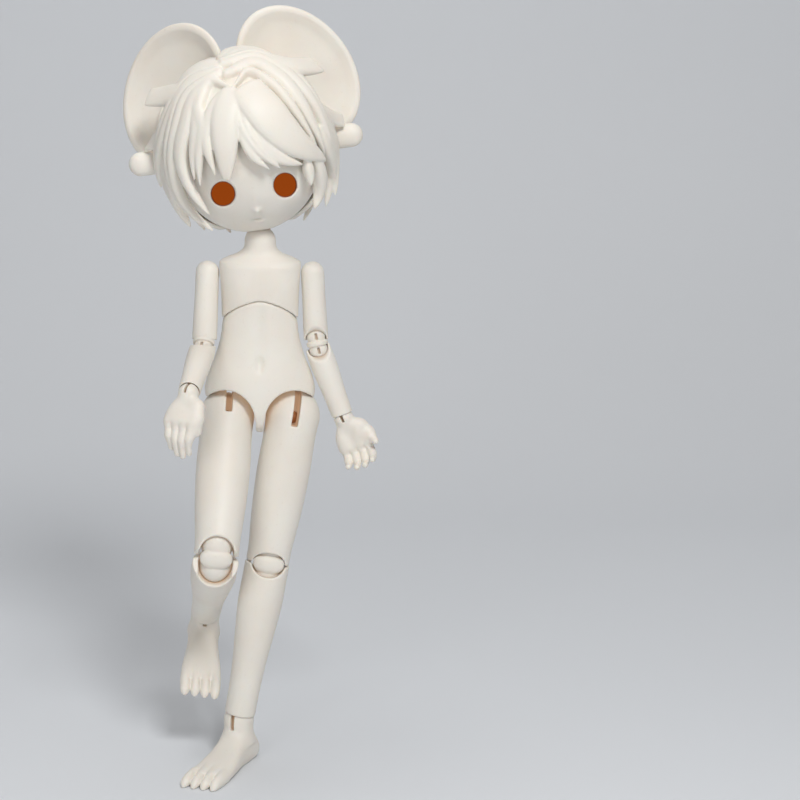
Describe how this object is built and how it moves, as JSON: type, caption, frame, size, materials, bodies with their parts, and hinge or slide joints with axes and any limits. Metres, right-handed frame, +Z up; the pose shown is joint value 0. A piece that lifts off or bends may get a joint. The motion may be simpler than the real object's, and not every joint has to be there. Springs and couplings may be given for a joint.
{
  "type": "ball jointed doll",
  "caption": "Blank resin ball jointed doll with a large head, wavy moulded wig, round mouse ears and open eye holes, standing on one leg.",
  "frame": {"origin": "on the flat sole of the standing left foot, straight below its ankle centre", "axes": "+Z up, -Y where the chest faces, +X towards the doll's own left side"},
  "size_m": [0.0993, 0.0803, 0.299],
  "materials": {
    "resin": "satin cast resin",
    "hair": "satin cast resin",
    "bead": "matt",
    "wire": "bright drawn wire"
  },
  "bodies": {
    "pelvis": {"lower_torso": "resin"},
    "waist_core": {"waist_bead": "bead"},
    "chest": {"chest": "resin"},
    "neck_core": {"neck_bead": "bead"},
    "neck_hook": {"neck_hook": "wire"},
    "head": {"head_face": "resin", "head_cap": "resin", "hair_front": "hair", "hair_back": "hair", "mouse_ear_left": "resin", "mouse_ear_right": "resin", "face_magnet_left": "wire", "face_magnet_right": "wire", "cap_magnet_left": "wire", "cap_magnet_right": "wire"},
    "shoulder_core_right": {"shoulder_bead_right": "bead"},
    "upper_arm_right": {"upper_arm_right": "resin"},
    "elbow_link_right": {"elbow_link_right": "resin"},
    "forearm_right": {"forearm_right": "resin"},
    "wrist_hook_right": {"wrist_hook_right": "wire"},
    "hand_right": {"hand_right": "resin"},
    "shoulder_core_left": {"shoulder_bead_left": "bead"},
    "upper_arm_left": {"upper_arm_left": "resin"},
    "elbow_link_left": {"elbow_link_left": "resin"},
    "forearm_left": {"forearm_left": "resin"},
    "wrist_hook_left": {"wrist_hook_left": "wire"},
    "hand_left": {"hand_left": "resin"},
    "hip_core_right": {"hip_bead_right": "bead"},
    "thigh_right": {"thigh_right": "resin"},
    "knee_link_right": {"knee_link_right": "resin"},
    "shin_right": {"shin_right": "resin"},
    "ankle_hook_right": {"ankle_hook_right": "wire"},
    "foot_right": {"foot_right": "resin"},
    "hip_core_left": {"hip_bead_left": "bead"},
    "thigh_left": {"thigh_left": "resin"},
    "knee_link_left": {"knee_link_left": "resin"},
    "shin_left": {"shin_left": "resin"},
    "ankle_hook_left": {"ankle_hook_left": "wire"},
    "foot_left": {"foot_left": "resin"}
  },
  "joints": [
    {"name": "waist_lean", "type": "hinge", "parent": "pelvis", "child": "waist_core", "pos_m": [0.00821, 0.00929, 0.17312], "axis": [0, -1, 0], "range_deg": [-1.5, 8]},
    {"name": "waist_bend", "type": "hinge", "parent": "waist_core", "child": "chest", "pos_m": [0.00821, 0.00929, 0.17312], "axis": [-1, 0, 0], "range_deg": [-8, 10]},
    {"name": "neck_tilt", "type": "hinge", "parent": "chest", "child": "neck_core", "pos_m": [0.00821, 0.00929, 0.20852], "axis": [-0.0345, 0.9986, -0.0401], "range_deg": [-8, 20]},
    {"name": "neck_turn", "type": "hinge", "parent": "neck_core", "child": "neck_hook", "pos_m": [0.00821, 0.00929, 0.20852], "axis": [-0.1495, 0.0345, 0.9882], "range_deg": [-70, 70]},
    {"name": "neck_nod", "type": "hinge", "parent": "neck_hook", "child": "head", "pos_m": [0.00821, 0.00929, 0.20852], "axis": [-0.9882, -0.0401, -0.1481], "range_deg": [-15, 18]},
    {"name": "shoulder_swing_right", "type": "hinge", "parent": "chest", "child": "shoulder_core_right", "pos_m": [-0.01219, 0.00929, 0.19622], "axis": [1, 0, 0], "range_deg": [-98, 12]},
    {"name": "shoulder_raise_right", "type": "hinge", "parent": "shoulder_core_right", "child": "upper_arm_right", "pos_m": [-0.01219, 0.00929, 0.19622], "axis": [0, 0.9781, -0.2079], "range_deg": [0, 80]},
    {"name": "elbow_upper_right", "type": "hinge", "parent": "upper_arm_right", "child": "elbow_link_right", "pos_m": [-0.01323, 0.00414, 0.17199], "axis": [-0.9839, 0.1784, 0.0042], "range_deg": [-20, 4]},
    {"name": "elbow_lower_right", "type": "hinge", "parent": "elbow_link_right", "child": "forearm_right", "pos_m": [-0.01384, 0.00089, 0.16747], "axis": [-0.9839, 0.1784, 0.0042], "range_deg": [-20, 8]},
    {"name": "wrist_twist_right", "type": "hinge", "parent": "forearm_right", "child": "wrist_hook_right", "pos_m": [-0.01844, -0.02418, 0.15405], "axis": [0.1598, 0.8703, 0.4659], "range_deg": [-60, 60]},
    {"name": "wrist_bend_right", "type": "hinge", "parent": "wrist_hook_right", "child": "hand_right", "pos_m": [-0.01844, -0.02418, 0.15405], "axis": [0.9088, -0.4164, -0.0257], "range_deg": [-30, 28]},
    {"name": "shoulder_swing_left", "type": "hinge", "parent": "chest", "child": "shoulder_core_left", "pos_m": [0.02861, 0.00929, 0.19622], "axis": [-1, 0, 0], "range_deg": [-34, 120]},
    {"name": "shoulder_raise_left", "type": "hinge", "parent": "shoulder_core_left", "child": "upper_arm_left", "pos_m": [0.02861, 0.00929, 0.19622], "axis": [0, -0.9994, 0.0349], "range_deg": [0, 80]},
    {"name": "elbow_upper_left", "type": "hinge", "parent": "upper_arm_left", "child": "elbow_link_left", "pos_m": [0.03008, 0.00843, 0.17148], "axis": [-0.9803, -0.0117, -0.1973], "range_deg": [-2, 45]},
    {"name": "elbow_lower_left", "type": "hinge", "parent": "elbow_link_left", "child": "forearm_left", "pos_m": [0.03118, 0.00804, 0.16601], "axis": [-0.9803, -0.0117, -0.1973], "range_deg": [-2, 45]},
    {"name": "wrist_twist_left", "type": "hinge", "parent": "forearm_left", "child": "wrist_hook_left", "pos_m": [0.04122, 0.00515, 0.13917], "axis": [0.3483, -0.1004, -0.932], "range_deg": [-60, 60]},
    {"name": "wrist_bend_left", "type": "hinge", "parent": "wrist_hook_left", "child": "hand_left", "pos_m": [0.04122, 0.00515, 0.13917], "axis": [-0.8882, 0.1796, -0.423], "range_deg": [-40, 40]},
    {"name": "hip_spread_right", "type": "hinge", "parent": "pelvis", "child": "hip_core_right", "pos_m": [-0.00469, 0.00929, 0.13902], "axis": [0, 1, 0], "range_deg": [0, 7]},
    {"name": "hip_swing_right", "type": "hinge", "parent": "hip_core_right", "child": "thigh_right", "pos_m": [-0.00469, 0.00929, 0.13902], "axis": [0.9973, 0, -0.0739], "range_deg": [-30, 50]},
    {"name": "knee_upper_right", "type": "hinge", "parent": "thigh_right", "child": "knee_link_right", "pos_m": [-0.0079, -0.02292, 0.0958], "axis": [0.9944, 0.0346, -0.0995], "range_deg": [-42, 10]},
    {"name": "knee_lower_right", "type": "hinge", "parent": "knee_link_right", "child": "shin_right", "pos_m": [-0.00882, -0.02209, 0.08689], "axis": [0.9944, 0.0346, -0.0995], "range_deg": [-51, 4]},
    {"name": "ankle_twist_right", "type": "hinge", "parent": "shin_right", "child": "ankle_hook_right", "pos_m": [-0.01392, 0.02858, 0.05349], "axis": [-0.0838, 0.8319, -0.5485], "range_deg": [-6, 40]},
    {"name": "ankle_flex_right", "type": "hinge", "parent": "ankle_hook_right", "child": "foot_right", "pos_m": [-0.01392, 0.02858, 0.05349], "axis": [-0.9944, -0.0346, 0.0995], "range_deg": [-28, 1]},
    {"name": "hip_spread_left", "type": "hinge", "parent": "pelvis", "child": "hip_core_left", "pos_m": [0.02111, 0.00929, 0.13902], "axis": [0, -1, 0], "range_deg": [0, 24]},
    {"name": "hip_swing_left", "type": "hinge", "parent": "hip_core_left", "child": "thigh_left", "pos_m": [0.02111, 0.00929, 0.13902], "axis": [-0.9858, 0, 0.168], "range_deg": [-15, 75]},
    {"name": "knee_upper_left", "type": "hinge", "parent": "thigh_left", "child": "knee_link_left", "pos_m": [0.0121, 0.0028, 0.08618], "axis": [0.9822, 0.0663, -0.1755], "range_deg": [-2, 48]},
    {"name": "knee_lower_left", "type": "hinge", "parent": "knee_link_left", "child": "shin_left", "pos_m": [0.01057, 0.00203, 0.07734], "axis": [0.9822, 0.0663, -0.1755], "range_deg": [-3, 55]},
    {"name": "ankle_twist_left", "type": "hinge", "parent": "shin_left", "child": "ankle_hook_left", "pos_m": [0, 0, 0.0174], "axis": [0.1736, 0.0334, 0.9842], "range_deg": [-30, 30]},
    {"name": "ankle_flex_left", "type": "hinge", "parent": "ankle_hook_left", "child": "foot_left", "pos_m": [0, 0, 0.0174], "axis": [-0.891, 0.454, 0], "range_deg": [-20, 20]}
  ]
}
